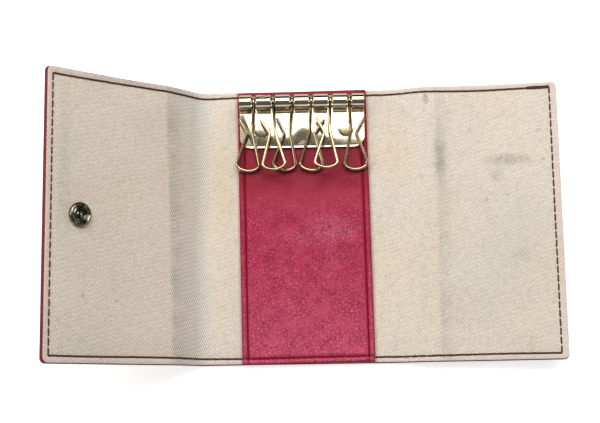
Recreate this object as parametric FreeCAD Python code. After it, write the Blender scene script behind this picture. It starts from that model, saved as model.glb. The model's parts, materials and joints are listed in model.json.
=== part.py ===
import FreeCAD, Part
import math
import os

# Key case, opened out: a leather cover of five panels in a row, a twill lining, a leather strip
# with a hook plate and six swinging hooks, and a snap that holds the two flaps closed.
# Millimetres. X runs across the open case, Y towards the hook end, Z out of the inside.
# The origin is the middle of the strip, on the outer face of the centre panel.

# Case outline
case_height = 110.0
left_crease_x = -40.4
right_crease_x = 34.9
right_spine_width = 15.5
left_flap_width = 50.7
right_flap_width = 50.9
corner_radius = 2.0
left_lift_deg = 40.6
right_lift_deg = 6.9

# Laminate, from the outside in
cover_leather = 1.0
stiffener_board = 0.6
lining_cloth = 0.4
turned_edge_width = 7.0
lining_inset = 0.2
fold_gap = 0.1
board_fold_margin = 0.9
board_clearance = 0.1

# Leather strip under the hooks
strip_margin = 0.95
strip_leather = 1.2
strip_end_inset = 0.3

# Hook plate: sheet metal with a hemmed lower lip and a rolled tube along the top
plate_end_land = 5.825
plate_shift_x = -0.6
plate_sheet = 0.6
plate_drop = 18.2
plate_lip_width = 1.3
plate_corner_radius = 4.5
tube_edge_distance = 5.6
tube_outer_diameter = 6.2
tube_seam_deg = 10.0
slot_width = 2.0
slot_from_deg = -45.0
slot_to_deg = 200.0
rod_diameter = 1.6
rod_end_inset = 0.3
rod_clearance = 0.08

# Rivets that hold the plate to the strip and the board
rivet_spacing = 33.8
rivet_shift_x = 0.7
rivet_drop = 10.6
rivet_head_diameter = 6.5
rivet_head_rise = 0.6
rivet_shank_diameter = 2.4
washer_diameter = 5.4

# Hooks: one bent wire each, an eye on the rod, a shank, a loop and a springy tail
hook_pitch = 7.67
wire_diameter = 1.25
shank_length = 11.9
shank_bend_radius = 4.0
loop_reach = 27.6
loop_belly_drop = 0.6
loop_half_width = 4.4
loop_corner_radius = 2.0
loop_offset = 1.25
pinch_offset = 2.1
pinch_reach = 12.8
pinch_bend_radius = 1.1
tail_offset = 5.5
tail_reach = 6.9
tail_sides = (-1, -1, -1, 1, -1, 1)
hook_leans_deg = (-2.75, 2.9, -4.9, -3.4, -1.9, 2.0)
hook_tilts_deg = (-3.6, 2.9, -3.6, -3.6, 6.2, -3.6)
hook_side_play = 0.12
side_play_shares = (-1, 1, 0, 0, 0, 0)

# Snap: cap and socket on the left flap, stud and eyelet on the right flap
snap_distance = 56.2
snap_y = 0.0
snap_post_diameter = 2.4
cap_diameter = 10.6
cap_rise = 1.5
socket_diameter = 9.0
socket_height = 1.9
socket_web = 0.3
socket_mouth_margin = 0.4
socket_rim_radius = 0.5
post_head_diameter = 3.4
post_head_height = 0.25
spring_wire = 0.4
spring_depth = 0.6
spring_grip = 0.8
stud_flange_diameter = 8.0
stud_flange = 0.45
stud_neck_diameter = 3.0
stud_head_diameter = 3.5
stud_head_height = 0.5
stud_clearance = 0.15
eyelet_diameter = 6.0

# Every cut runs past its faces by this much
overrun = 1.0

# Worked out from the sizes above
half_height = case_height / 2
board_top = cover_leather + stiffener_board
lining_top = board_top + lining_cloth
hook_count = len(tail_sides)
plate_width = hook_pitch * (hook_count - 1) + 2 * plate_end_land
strip_width = plate_width + 2 * strip_margin
strip_top = lining_top + strip_leather
plate_top = strip_top + plate_sheet
tube_radius = tube_outer_diameter / 2
tube_bore_radius = tube_radius - plate_sheet
tube_axis_z = strip_top + tube_radius
tube_axis_y = half_height - tube_edge_distance
plate_lip_y = tube_axis_y - plate_drop
rivet_y = tube_axis_y - rivet_drop
rod_radius = rod_diameter / 2
wire_radius = wire_diameter / 2
eye_radius = rod_radius + rod_clearance + wire_radius
spring_spread = stud_head_diameter + spring_wire + 2 * stud_clearance
socket_mouth_diameter = spring_spread + spring_wire + 2 * socket_mouth_margin
# Shut, the left flap lies over the right one, with the snap between them.
shut_gap = socket_height + stud_flange + stud_clearance
left_spine_width = right_spine_width + lining_top + shut_gap
left_fold_x = left_crease_x - left_spine_width
left_edge_x = left_fold_x - left_flap_width
right_fold_x = right_crease_x + right_spine_width
right_edge_x = right_fold_x + right_flap_width
first_slot_x = plate_shift_x - hook_pitch * (hook_count - 1) / 2
slot_places = [first_slot_x + hook_pitch * number for number in range(hook_count)]
rivet_middle_x = plate_shift_x + rivet_shift_x
rivet_places = [rivet_middle_x - rivet_spacing / 2, rivet_middle_x + rivet_spacing / 2]
snap_x = left_crease_x - snap_distance
shut_snap_x = left_crease_x + snap_distance - left_spine_width
stud_x = right_fold_x + right_crease_x - shut_snap_x

X_AXIS = FreeCAD.Vector(1, 0, 0)
Y_AXIS = FreeCAD.Vector(0, 1, 0)
Z_AXIS = FreeCAD.Vector(0, 0, 1)


def vec(x, y, z):
    return FreeCAD.Vector(x, y, z)


def block(x_from, x_to, y_from, y_to, z_from, z_to):
    size = vec(x_to - x_from, y_to - y_from, z_to - z_from)
    return Part.makeBox(size.x, size.y, size.z, vec(x_from, y_from, z_from))


def disc(diameter, x, y, z_from, z_to):
    return Part.makeCylinder(diameter / 2, z_to - z_from, vec(x, y, z_from), Z_AXIS)


def dome(diameter, rise, x, y, z, up):
    """A low spherical cap on a flat base, rising along +Z (up = 1) or -Z (up = -1)."""
    ball_radius = (diameter * diameter / 4 + rise * rise) / (2 * rise)
    ball = Part.makeSphere(ball_radius, vec(x, y, z + up * (rise - ball_radius)))
    z_far = z + up * rise
    keep = disc(diameter + overrun, x, y, min(z, z_far), max(z, z_far))
    return ball.common(keep)


def round_corners(solid, x, radius):
    """Round the two upright corners of a panel that stand at this x."""
    edges = []
    for edge in solid.Edges:
        ends = [vertex.Point for vertex in edge.Vertexes]
        upright = len(ends) == 2 and abs(ends[0].z - ends[1].z) > fold_gap
        if upright and all(abs(end.x - x) < fold_gap for end in ends):
            edges.append(edge)
    return solid.makeFillet(radius, edges)


def turned(shape, x, z, degrees):
    """A copy turned about the line through (x, z) along +Y."""
    copy = shape.copy()
    copy.rotate(vec(x, 0, z), Y_AXIS, degrees)
    return copy


def raise_left(shape):
    return turned(shape, left_crease_x, lining_top, left_lift_deg)


def raise_right(shape):
    return turned(shape, right_crease_x, lining_top, -right_lift_deg)


def panel(x_from, x_to, free_side):
    """The cover, board and lining of one flat panel. free_side is -1, 0 or 1: the case's own edge."""
    left_in = lining_inset if free_side < 0 else fold_gap / 2
    right_in = lining_inset if free_side > 0 else fold_gap / 2
    cover_from = x_from if free_side < 0 else x_from + fold_gap / 2
    cover_to = x_to if free_side > 0 else x_to - fold_gap / 2
    board_from = x_from + (turned_edge_width if free_side < 0 else board_fold_margin)
    board_to = x_to - (turned_edge_width if free_side > 0 else board_fold_margin)
    board_end = half_height - turned_edge_width
    cover = block(cover_from, cover_to, -half_height, half_height, 0, board_top)
    lining_end = half_height - lining_inset
    lining = block(x_from + left_in, x_to - right_in, -lining_end, lining_end, board_top, lining_top)
    if free_side:
        edge_x = cover_from if free_side < 0 else cover_to
        cover = round_corners(cover, edge_x, corner_radius)
        lining_edge_x = edge_x - free_side * lining_inset
        lining = round_corners(lining, lining_edge_x, corner_radius - lining_inset)
    pocket_from = board_from - board_clearance
    pocket_to = board_to + board_clearance
    pocket_end = board_end + board_clearance
    cover = cover.cut(block(pocket_from, pocket_to, -pocket_end, pocket_end, cover_leather, lining_top))
    board = block(board_from, board_to, -board_end, board_end, cover_leather, board_top)
    return cover, board, lining


def hook_strip():
    end = half_height - strip_end_inset
    strip = block(-strip_width / 2, strip_width / 2, -end, end, lining_top, strip_top)
    for x in rivet_places:
        strip = strip.cut(disc(rivet_shank_diameter, x, rivet_y, 0, plate_top))
    return strip


def sector(from_deg, to_deg, radius, x_from, x_to):
    """A wedge about the tube's axis. 0 degrees points down the case, 90 degrees out of it."""
    centre = vec(x_from, tube_axis_y, tube_axis_z)

    def point(degrees):
        angle = math.radians(degrees)
        return centre + vec(0, -radius * math.cos(angle), radius * math.sin(angle))

    middle = (from_deg + to_deg) / 2
    arc = Part.Arc(point(from_deg), point(middle), point(to_deg)).toShape()
    sides = [Part.makeLine(centre, point(from_deg)), arc, Part.makeLine(point(to_deg), centre)]
    return Part.Face(Part.Wire(sides)).extrude(vec(x_to - x_from, 0, 0))


def hook_plate():
    x_from = plate_shift_x - plate_width / 2
    x_to = plate_shift_x + plate_width / 2
    sheet = block(x_from, x_to, plate_lip_y, tube_axis_y, strip_top, plate_top)
    lip_end = plate_lip_y + plate_lip_width
    lip = block(x_from, x_to, plate_lip_y, lip_end, strip_top, plate_top + plate_sheet)
    corner = plate_lip_y + plate_corner_radius
    z_above = plate_top + plate_sheet + overrun
    # The sheet's lower corners are rounded: each takes a square off and puts a quarter disc back.
    for side, x_edge in ((1, x_from), (-1, x_to)):
        x_in = x_edge + side * plate_corner_radius
        low, high = sorted((x_edge - side * overrun, x_in))
        square = block(low, high, plate_lip_y - overrun, corner, strip_top - overrun, z_above)
        full = disc(plate_corner_radius * 2, x_in, corner, strip_top - overrun, z_above)
        hem = disc((plate_corner_radius - plate_lip_width) * 2, x_in, corner, plate_top, z_above)
        quarter = full.common(square)
        sheet = sheet.cut(square.cut(full))
        hem_layer = block(low, high, plate_lip_y, corner, plate_top, plate_top + plate_sheet)
        rim = quarter.cut(hem).common(hem_layer)
        lip = lip.cut(square).fuse(rim)
    tube_start = vec(x_from, tube_axis_y, tube_axis_z)
    roll = Part.makeCylinder(tube_radius, plate_width, tube_start, X_AXIS)
    bore = Part.makeCylinder(tube_bore_radius, plate_width, tube_start, X_AXIS)
    plate = sheet.fuse(lip).fuse(roll).cut(bore)
    reach = tube_radius + overrun
    roll_top = tube_axis_z + reach
    above_sheet = block(x_from, x_to, plate_lip_y, tube_axis_y + reach, plate_top, roll_top)
    # The roll ends just short of the sheet, and the slots part it into fingers.
    seam = sector(slot_from_deg - tube_seam_deg, slot_from_deg, reach, x_from, x_to)
    plate = plate.cut(seam.common(above_sheet))
    for x in slot_places:
        slot = sector(slot_from_deg, slot_to_deg, reach, x - slot_width / 2, x + slot_width / 2)
        plate = plate.cut(slot.common(above_sheet))
    for x in rivet_places:
        plate = plate.cut(disc(rivet_shank_diameter, x, rivet_y, 0, tube_axis_z))
    return plate.removeSplitter()


def hook_rod():
    """The pin that the hooks swing on. A collar at each end seats it in the rolled tube."""
    x_from = plate_shift_x - plate_width / 2 + rod_end_inset
    length = plate_width - 2 * rod_end_inset
    rod = Part.makeCylinder(rod_radius, length, vec(x_from, tube_axis_y, tube_axis_z), X_AXIS)
    collar = (plate_end_land - slot_width / 2) / 2
    for x in (x_from, x_from + length - collar):
        start = vec(x, tube_axis_y, tube_axis_z)
        rod = rod.fuse(Part.makeCylinder(tube_bore_radius, collar, start, X_AXIS))
    return rod.removeSplitter()


def tangent_point(point, centre, radius, side):
    """Where a line from point touches a circle, on its left (side = 1) or right (side = -1)."""
    away = point - centre
    angle = side * math.acos(radius / away.Length)
    along = away * (radius / away.Length)
    turned_x = along.x * math.cos(angle) - along.y * math.sin(angle)
    turned_y = along.x * math.sin(angle) + along.y * math.cos(angle)
    return centre + vec(turned_x, turned_y, 0)


def bend(before, corner, after, radius):
    """The three points of the arc that rounds a corner between two straight runs."""
    back = (before - corner).normalize()
    ahead = (after - corner).normalize()
    half_turn = back.getAngle(ahead) / 2
    inward = (back + ahead).normalize()
    middle = corner + inward * (radius / math.sin(half_turn) - radius)
    setback = radius / math.tan(half_turn)
    return corner + back * setback, middle, corner + ahead * setback


def hook(number):
    """One hook: the wire lies in a plane through the rod's axis, with its tail to one side."""
    tail = tail_sides[number]
    eye_exit = vec(0, -eye_radius, 0)
    shank_end = vec(0, -shank_length, 0)
    pinch = vec(tail * pinch_offset, -pinch_reach, 0)
    tail_tip = vec(tail * tail_offset, -tail_reach, 0)
    corner_level = loop_corner_radius + loop_belly_drop - loop_reach
    corner_spread = loop_half_width - loop_corner_radius
    far_centre = vec(tail * (loop_offset - corner_spread), corner_level, 0)
    near_centre = vec(tail * (loop_offset + corner_spread), corner_level, 0)
    far_touch = tangent_point(shank_end, far_centre, loop_corner_radius, tail)
    near_touch = tangent_point(pinch, near_centre, loop_corner_radius, -tail)
    # One wide arc closes the loop below, tangent to both corner arcs.
    reach = (corner_spread ** 2 + loop_belly_drop ** 2) / (2 * loop_belly_drop)
    belly_radius = reach + loop_corner_radius
    belly_centre = vec(tail * loop_offset, belly_radius - loop_reach, 0)
    belly_low = vec(tail * loop_offset, -loop_reach, 0)
    far_join = far_centre + (far_centre - belly_centre).normalize() * loop_corner_radius
    near_join = near_centre + (near_centre - belly_centre).normalize() * loop_corner_radius

    def corner_middle(centre, one, two):
        return centre + ((one - centre) + (two - centre)).normalize() * loop_corner_radius

    shank_arc = bend(eye_exit, shank_end, far_touch, shank_bend_radius)
    pinch_arc = bend(near_touch, pinch, tail_tip, pinch_bend_radius)
    path = Part.Wire([
        Part.LineSegment(eye_exit, shank_arc[0]).toShape(),
        Part.Arc(*shank_arc).toShape(),
        Part.LineSegment(shank_arc[2], far_touch).toShape(),
        Part.Arc(far_touch, corner_middle(far_centre, far_touch, far_join), far_join).toShape(),
        Part.Arc(far_join, belly_low, near_join).toShape(),
        Part.Arc(near_join, corner_middle(near_centre, near_join, near_touch), near_touch).toShape(),
        Part.LineSegment(near_touch, pinch_arc[0]).toShape(),
        Part.Arc(*pinch_arc).toShape(),
        Part.LineSegment(pinch_arc[2], tail_tip).toShape(),
    ])
    section = Part.Wire(Part.makeCircle(wire_radius, eye_exit, Y_AXIS))
    wire = path.makePipeShell([section], True, False)
    eye = Part.makeTorus(eye_radius, wire_radius, vec(0, 0, 0), X_AXIS)
    shape = eye.fuse(wire)
    shape.rotate(vec(0, 0, 0), Z_AXIS, hook_leans_deg[number])
    shape.rotate(vec(0, 0, 0), X_AXIS, -hook_tilts_deg[number])
    eye_x = slot_places[number] + hook_side_play * side_play_shares[number]
    shape.translate(vec(eye_x, tube_axis_y, tube_axis_z))
    return shape


def plate_rivets():
    rivets = []
    for x in rivet_places:
        shank = disc(rivet_shank_diameter, x, rivet_y, cover_leather, plate_top)
        head = dome(rivet_head_diameter, rivet_head_rise, x, rivet_y, plate_top, 1)
        rivets.append(shank.fuse(head))
    return Part.makeCompound(rivets)


def rivet_washers():
    washers = []
    for x in rivet_places:
        washer = disc(washer_diameter, x, rivet_y, cover_leather, board_top)
        washers.append(washer.cut(disc(rivet_shank_diameter, x, rivet_y, 0, strip_top)))
    return Part.makeCompound(washers)


def snap_cap():
    """The outside cap, with the post that goes through the flap and is headed over in the socket."""
    cap = dome(cap_diameter, cap_rise, snap_x, snap_y, 0, -1)
    post_top = lining_top + socket_web
    post = disc(snap_post_diameter, snap_x, snap_y, 0, post_top)
    head = disc(post_head_diameter, snap_x, snap_y, post_top, post_top + post_head_height)
    return cap.fuse(post).fuse(head).removeSplitter()


def spring_wires(wire):
    """The two straight spring wires that grip the stud's neck."""
    half_length = math.sqrt(socket_mouth_diameter ** 2 - spring_spread ** 2) / 2 + spring_grip
    z = lining_top + socket_height - spring_depth
    wires = []
    for side in (-1, 1):
        start = vec(snap_x - half_length, snap_y + side * spring_spread / 2, z)
        wires.append(Part.makeCylinder(wire / 2, half_length * 2, start, X_AXIS))
    return Part.makeCompound(wires)


def snap_socket():
    socket_top = lining_top + socket_height
    ring = disc(socket_diameter, snap_x, snap_y, lining_top, socket_top)
    rim = [edge for edge in ring.Edges if edge.BoundBox.ZMin > socket_top - socket_rim_radius]
    ring = ring.makeFillet(socket_rim_radius, rim)
    web_top = lining_top + socket_web
    ring = ring.cut(disc(socket_mouth_diameter, snap_x, snap_y, web_top, socket_top + overrun))
    ring = ring.cut(disc(snap_post_diameter, snap_x, snap_y, 0, socket_top))
    return ring.cut(spring_wires(spring_wire))


def snap_stud():
    """The stud on the lower flap's outer face: a flange, a neck and a head that faces down here."""
    tip = -(shut_gap - socket_web - post_head_height - stud_clearance)
    flange = disc(stud_flange_diameter, stud_x, snap_y, -stud_flange, 0)
    neck = disc(stud_neck_diameter, stud_x, snap_y, tip, 0)
    head = disc(stud_head_diameter, stud_x, snap_y, tip, tip + stud_head_height)
    stud = flange.fuse(neck).fuse(head).removeSplitter()
    return stud.cut(disc(snap_post_diameter, stud_x, snap_y, -stud_flange, overrun))


def snap_eyelet():
    """The eyelet under the lining, with the post that holds the stud."""
    flange = disc(eyelet_diameter, stud_x, snap_y, cover_leather, board_top)
    post = disc(snap_post_diameter, stud_x, snap_y, -stud_flange, cover_leather)
    return flange.fuse(post).removeSplitter()


def bored(shape, diameter, places, y, floor=-overrun):
    """The shape with a hole at each place, right through or down to a floor."""
    for x in places:
        shape = shape.cut(disc(diameter, x, y, floor, strip_top))
    return shape


os.makedirs("parts", exist_ok=True)

panels = {
    "centre": panel(left_crease_x, right_crease_x, 0),
    "left_spine": panel(left_fold_x, left_crease_x, 0),
    "left_flap": panel(left_edge_x, left_fold_x, -1),
    "right_spine": panel(right_crease_x, right_fold_x, 0),
    "right_flap": panel(right_fold_x, right_edge_x, 1),
}
nodes = {}
for name, (cover, board, lining) in panels.items():
    if name == "centre":
        cover = bored(cover, washer_diameter, rivet_places, rivet_y, cover_leather)
        board = bored(board, washer_diameter, rivet_places, rivet_y)
        lining = bored(lining, rivet_shank_diameter, rivet_places, rivet_y)
    if name == "left_flap":
        cover = bored(cover, snap_post_diameter, [snap_x], snap_y)
        board = bored(board, snap_post_diameter, [snap_x], snap_y)
        lining = bored(lining, snap_post_diameter, [snap_x], snap_y)
    if name == "right_flap":
        cover = bored(cover, snap_post_diameter, [stud_x], snap_y)
        cover = bored(cover, eyelet_diameter, [stud_x], snap_y, cover_leather)
        board = bored(board, eyelet_diameter, [stud_x], snap_y)
    nodes["cover_" + name] = cover
    nodes["board_" + name] = board
    nodes["lining_" + name] = lining
nodes["hook_strip"] = hook_strip()
nodes["hook_plate"] = hook_plate()
nodes["hook_rod"] = hook_rod()
nodes["plate_rivets"] = plate_rivets()
nodes["rivet_washers"] = rivet_washers()
for number in range(hook_count):
    nodes["hook_" + str(number + 1)] = hook(number)
nodes["snap_cap_left"] = snap_cap()
nodes["snap_socket_left"] = snap_socket()
nodes["snap_spring_left"] = spring_wires(spring_wire)
nodes["snap_stud_right"] = snap_stud()
nodes["snap_eyelet_right"] = snap_eyelet()

for name, shape in nodes.items():
    if "left" in name:
        shape = raise_left(shape)
    if "right" in name:
        shape = raise_right(shape)
    shape.exportStep("parts/" + name + ".step")
    print(name, len(shape.Solids), "solid", round(shape.Volume, 2), "mm3", shape.isValid())
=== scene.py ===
# %% [markdown]
# # A leather key case, opened out
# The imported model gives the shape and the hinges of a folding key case: a crimson leather cover,
# a cream twill lining, a leather strip, and a plate with six key hooks. This lesson dresses that
# model. Metal keeps its modelled shape and gets a finish. Leather and cloth are made again as soft
# sheets, because a soft thing built from flat blocks never looks sewn.

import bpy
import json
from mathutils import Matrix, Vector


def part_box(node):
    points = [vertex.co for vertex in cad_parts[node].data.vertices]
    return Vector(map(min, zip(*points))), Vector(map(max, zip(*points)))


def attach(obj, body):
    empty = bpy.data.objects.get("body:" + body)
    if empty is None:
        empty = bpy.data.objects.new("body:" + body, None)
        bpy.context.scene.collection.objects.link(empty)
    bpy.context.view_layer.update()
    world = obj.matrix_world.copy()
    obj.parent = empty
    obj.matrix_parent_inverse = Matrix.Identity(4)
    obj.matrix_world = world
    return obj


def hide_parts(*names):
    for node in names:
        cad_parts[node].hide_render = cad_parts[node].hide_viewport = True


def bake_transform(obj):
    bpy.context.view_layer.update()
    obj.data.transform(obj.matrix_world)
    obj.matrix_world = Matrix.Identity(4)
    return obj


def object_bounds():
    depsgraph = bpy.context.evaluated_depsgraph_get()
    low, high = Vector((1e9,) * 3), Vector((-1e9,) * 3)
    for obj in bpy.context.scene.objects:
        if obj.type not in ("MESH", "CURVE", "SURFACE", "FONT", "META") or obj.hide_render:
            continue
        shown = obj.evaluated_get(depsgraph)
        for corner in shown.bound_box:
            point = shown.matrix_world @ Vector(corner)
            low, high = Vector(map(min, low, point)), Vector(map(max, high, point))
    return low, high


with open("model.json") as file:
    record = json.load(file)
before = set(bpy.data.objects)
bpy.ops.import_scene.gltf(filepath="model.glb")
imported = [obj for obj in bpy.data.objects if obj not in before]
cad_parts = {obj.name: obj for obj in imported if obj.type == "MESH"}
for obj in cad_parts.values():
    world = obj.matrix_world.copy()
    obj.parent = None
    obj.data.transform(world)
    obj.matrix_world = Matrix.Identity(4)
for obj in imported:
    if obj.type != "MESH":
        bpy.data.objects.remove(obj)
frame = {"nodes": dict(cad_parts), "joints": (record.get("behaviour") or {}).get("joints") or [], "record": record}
cad_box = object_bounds()
print("modelled box, metres:", [[round(value, 4) for value in corner] for corner in cad_box])

# %% Tools for the lesson
import json
import math
from functools import partial

import bpy
import numpy as np
from mathutils import Matrix, Vector

scene = bpy.context.scene
MM = 0.001


def add_object(name, data):
    """Puts a mesh, a lamp or a camera in the scene, at the origin."""
    made = bpy.data.objects.new(name, data)
    scene.collection.objects.link(made)
    return made


# %% [markdown]
# ## The case on the cutting table
# A case like this is cut, glued and sewn flat, and is folded only at the end. It could be modelled
# in its folded shape straight away, but then every seam would need its own bend. Here each soft
# piece is laid out flat, with three sizes for each point: s across the case, y up the case, and h
# above the inner face. One function then folds all of them in the same way, so a stitch stays on
# its cloth. The creases and panel widths are read from the model's hinges and nodes.

# %% Sizes of the flat case
hinge = {joint["name"]: Vector(joint["pos_m"]) for joint in frame["joints"]}
inner_face = hinge["left_spine_fold"].z


def measure_side(side, way):
    """One side's flat sizes: where its crease, its fold and its edge are. Also how far it is lifted."""
    start = hinge[side + "_spine_fold"]
    spine = hinge[side + "_flap_fold"] - start
    points = np.array([vertex.co for vertex in frame["nodes"]["cover_" + side + "_flap"].data.vertices])
    reach = float(((points - np.array(start)) @ np.array(spine.normalized())).max())
    return start.x, start.x + way * spine.length, start.x + way * reach, math.atan2(spine.z, way * spine.x)


left_crease, left_fold, left_edge, left_lift = measure_side("left", -1)
right_crease, right_fold, right_edge, right_lift = measure_side("right", 1)
cover_low, cover_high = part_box("cover_centre")
half_height = cover_high.y
lining_thick, case_thick = inner_face - cover_high.z, inner_face - cover_low.z
corner_radius = 2.0 * MM
lining_inset = {"left": 0.7 * MM, "right": 0.1 * MM, "foot": 0.35 * MM, "head": 0.1 * MM}
left_seam, right_seam = left_edge + 2.8 * MM, right_edge - 2.9 * MM
print("flat width %.1f mm, height %.1f mm" % ((right_edge - left_edge) / MM, 2 * half_height / MM))
print("lifts, degrees: left %.1f, right %.1f" % (math.degrees(left_lift), math.degrees(right_lift)))

# %% Fold the flat case as it lies in the photograph
left_softness, right_softness = 8.5 * MM, 6.0 * MM  # half the width of each bend
left_mark, right_mark = 16.5 * MM, 19.2 * MM  # from each crease to the old fold's mark of wear and painted shade


def ease(share):
    """Goes from 0 to 1 and starts and ends gently."""
    share = np.clip(share, 0.0, 1.0)
    return share * share * (3.0 - 2.0 * share)


def ridge(distance, peak, end):
    """A rounded ridge, 1 at its peak, that dies away at 0 and at its end."""
    climb = np.clip(distance / peak, 0.0, 1.0) ** 1.5
    fall = np.clip(1.0 - (distance - peak) / (end - peak), 0.0, 1.0) ** 2
    return np.minimum(climb, fall)


def slouch(s, y):
    """An opened flap keeps some of its old fold, and stands a little off its plane beside the spine."""
    mark = left_mark + 1.6 * MM * y / half_height
    left = sum(ridge(left_crease - s + shift * MM, mark, 42.0 * MM) for shift in (-1.2, -0.4, 0.4, 1.2)) / 4
    right = sum(ridge(s - right_crease + shift * MM, 13.0 * MM, 46.0 * MM) for shift in (-2.4, -0.8, 0.8, 2.4)) / 4
    return (1.5 * left + 2.7 * right) * MM


def place(s, y, h):
    """Where flat sizes come to lie: the leather turns about each crease, a little at a time."""
    s, y, h = (np.asarray(part, float) for part in np.broadcast_arrays(s, y, h))
    h = h + slouch(s, y)
    left = ease((left_crease + left_softness - s) / (2 * left_softness)) * left_lift
    right = ease((s - right_crease + right_softness) / (2 * right_softness)) * right_lift
    turn = left - right
    pivot = np.where(s < 0.0, left_crease, right_crease)
    x = pivot + (s - pivot) * np.cos(turn) + h * np.sin(turn)
    z = inner_face - (s - pivot) * np.sin(turn) + h * np.cos(turn)
    return np.stack([x, y, z], axis=-1)


for label, s in (("left", left_edge), ("right", right_edge)):
    print(label, "edge folds to", (place(s, half_height, 0.0) / MM).round(2), "mm")

# %% [markdown]
# ## The photograph's camera
# The camera was found by fitting the case's corners, creases and strip to the photograph. It stands
# half a metre above the case, almost straight over it, and is turned a little on its own axis.
# Looking along -Z with X to the right is how Blender's camera sees, so the three directions below
# become the columns of its matrix.

# %% Camera
elevation, azimuth, roll = (math.radians(angle) for angle in (80.62, 5.36, -6.32))
focal_length, photo_width = 1219.26, 600  # in pixels
camera_distance = 486.69 * MM
camera_target = Vector((-1.97 * MM, 5.59 * MM, inner_face))
backward = Vector((math.sin(azimuth) * math.cos(elevation),
                   -math.cos(azimuth) * math.cos(elevation), math.sin(elevation)))
level_right = (-backward).cross(Vector((0, 0, 1))).normalized()
level_up = level_right.cross(-backward)
right_way = level_right * math.cos(roll) + level_up * math.sin(roll)
up_way = level_up * math.cos(roll) - level_right * math.sin(roll)
camera_data = bpy.data.cameras.new("case_camera")
camera_data.sensor_width = 36.0
camera_data.lens = focal_length / photo_width * camera_data.sensor_width
camera_data.clip_start = 0.01
camera = add_object("case_camera", camera_data)
camera_place = Matrix((right_way, up_way, backward)).transposed().to_4x4()
camera_place.translation = camera_target + backward * camera_distance
camera.matrix_world = camera_place
scene.camera = camera
scene.view_settings.view_transform = "Standard"
print("camera at", [round(value, 3) for value in camera.location], "lens %.1f mm" % camera_data.lens)

# %% [markdown]
# ## Building finishes from nodes
# A finish is a small tree of nodes. Writing each node and link by hand fills pages, so short helpers
# do it: fill gives a node's sockets their values, add_node makes a node, and plus, minus, times and
# their like make sums out of Math nodes. An output knows the tree it belongs to, so most helpers find
# the tree for themselves. A group is a tree that finishes share, with its own inputs and outputs.

# %% Helpers for nodes and sums
def fill(node, inputs):
    """Gives a node's sockets, by name or number, a plain value or another node's output."""
    for key, value in dict(inputs).items():
        if isinstance(value, bpy.types.NodeSocket):
            node.id_data.links.new(value, node.inputs[key])
        else:
            node.inputs[key].default_value = value


def add_node(tree, kind, inputs=(), **settings):
    """One node, with its settings and inputs filled in."""
    made = tree.nodes.new(kind)
    for name, value in settings.items():
        setattr(made, name, value)
    fill(made, inputs)
    return made


def sum_node(kind, operation, *values):
    """The output of a Math or Vector Math node, in the tree of the first output among its values."""
    tree = next(value.id_data for value in values if isinstance(value, bpy.types.NodeSocket))
    return add_node(tree, kind, enumerate(values), operation=operation).outputs[0]


plus, minus, times, over, times_plus, larger, smaller, unsigned, cosine, round_up = (
    partial(sum_node, "ShaderNodeMath", operation)
    for operation in ("ADD", "SUBTRACT", "MULTIPLY", "DIVIDE", "MULTIPLY_ADD", "MAXIMUM", "MINIMUM", "ABSOLUTE",
                      "COSINE", "CEIL"))
vector_sum = partial(sum_node, "ShaderNodeVectorMath")


# %% Helpers for colours, patterns and finishes
def blend_colours(share, first, second, mode="MIX"):
    """One colour Mix node's output."""
    return add_node(share.id_data, "ShaderNodeMix", {0: share, 6: first, 7: second},
                    data_type="RGBA", blend_type=mode, clamp_factor=True).outputs[2]


def stain(share, colour, tint):
    """A colour darkened by a tint, as far as share says."""
    return blend_colours(share, colour, (*tint, 1.0), "MULTIPLY")


def ramp(value, low, high, to_low=0.0, to_high=1.0):
    """A value eased from one range to another."""
    return add_node(value.id_data, "ShaderNodeMapRange", enumerate((value, low, high, to_low, to_high)),
                    interpolation_type="SMOOTHSTEP").outputs[0]


def noise(where, scale, detail, part="Fac", roughness=0.5):
    """Soft noise over a place: one value, or with part Color three of them."""
    return add_node(where.id_data, "ShaderNodeTexNoise", {"Vector": where, "Scale": scale, "Detail": detail,
                                                          "Roughness": roughness}).outputs[part]


def split(where):
    """A place's three numbers."""
    return add_node(where.id_data, "ShaderNodeSeparateXYZ", {0: where}).outputs


def bumped(height, strength, distance, over_normal=None):
    """The normal of a surface with small relief. over_normal is a coarser relief beneath it."""
    made = add_node(height.id_data, "ShaderNodeBump", {"Height": height, "Strength": strength, "Distance": distance})
    if over_normal is not None:
        fill(made, {"Normal": over_normal})
    return made.outputs[0]


def open_group(name, inputs, outputs):
    """A shader group. inputs pairs a name with a number, a vector, or None for a place to be linked.
    Returns the group's tree, what it is given, and its output node."""
    tree = bpy.data.node_groups.new(name, "ShaderNodeTree")
    for label, value in inputs.items():
        kind = "NodeSocketFloat" if isinstance(value, float) else "NodeSocketVector"
        socket = tree.interface.new_socket(label, in_out="INPUT", socket_type=kind)
        if value is not None:
            socket.default_value = value
    for label in outputs:
        tree.interface.new_socket(label, in_out="OUTPUT", socket_type="NodeSocketFloat")
    return tree, tree.nodes.new("NodeGroupInput").outputs, tree.nodes.new("NodeGroupOutput")


def use_group(tree, group, inputs):
    """Places a shared group in a material."""
    return add_node(tree, "ShaderNodeGroup", inputs, node_tree=group).outputs


def open_material(name):
    """A new material. Returns it, its tree and its Principled shader."""
    material = bpy.data.materials.new(name)
    material.use_nodes = True
    return material, material.node_tree, material.node_tree.nodes["Principled BSDF"]


def from_photo(red, green, blue):
    """A colour read off a screen, 0 to 255, as the linear colour that a shader takes."""
    channels = [value / 255 for value in (red, green, blue)]
    linear = [c / 12.92 if c <= 0.04045 else ((c + 0.055) / 1.055) ** 2.4 for c in channels]
    return (*linear, 1.0)


print("a mid grey, linear:", [round(value, 3) for value in from_photo(128, 128, 128)])

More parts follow.
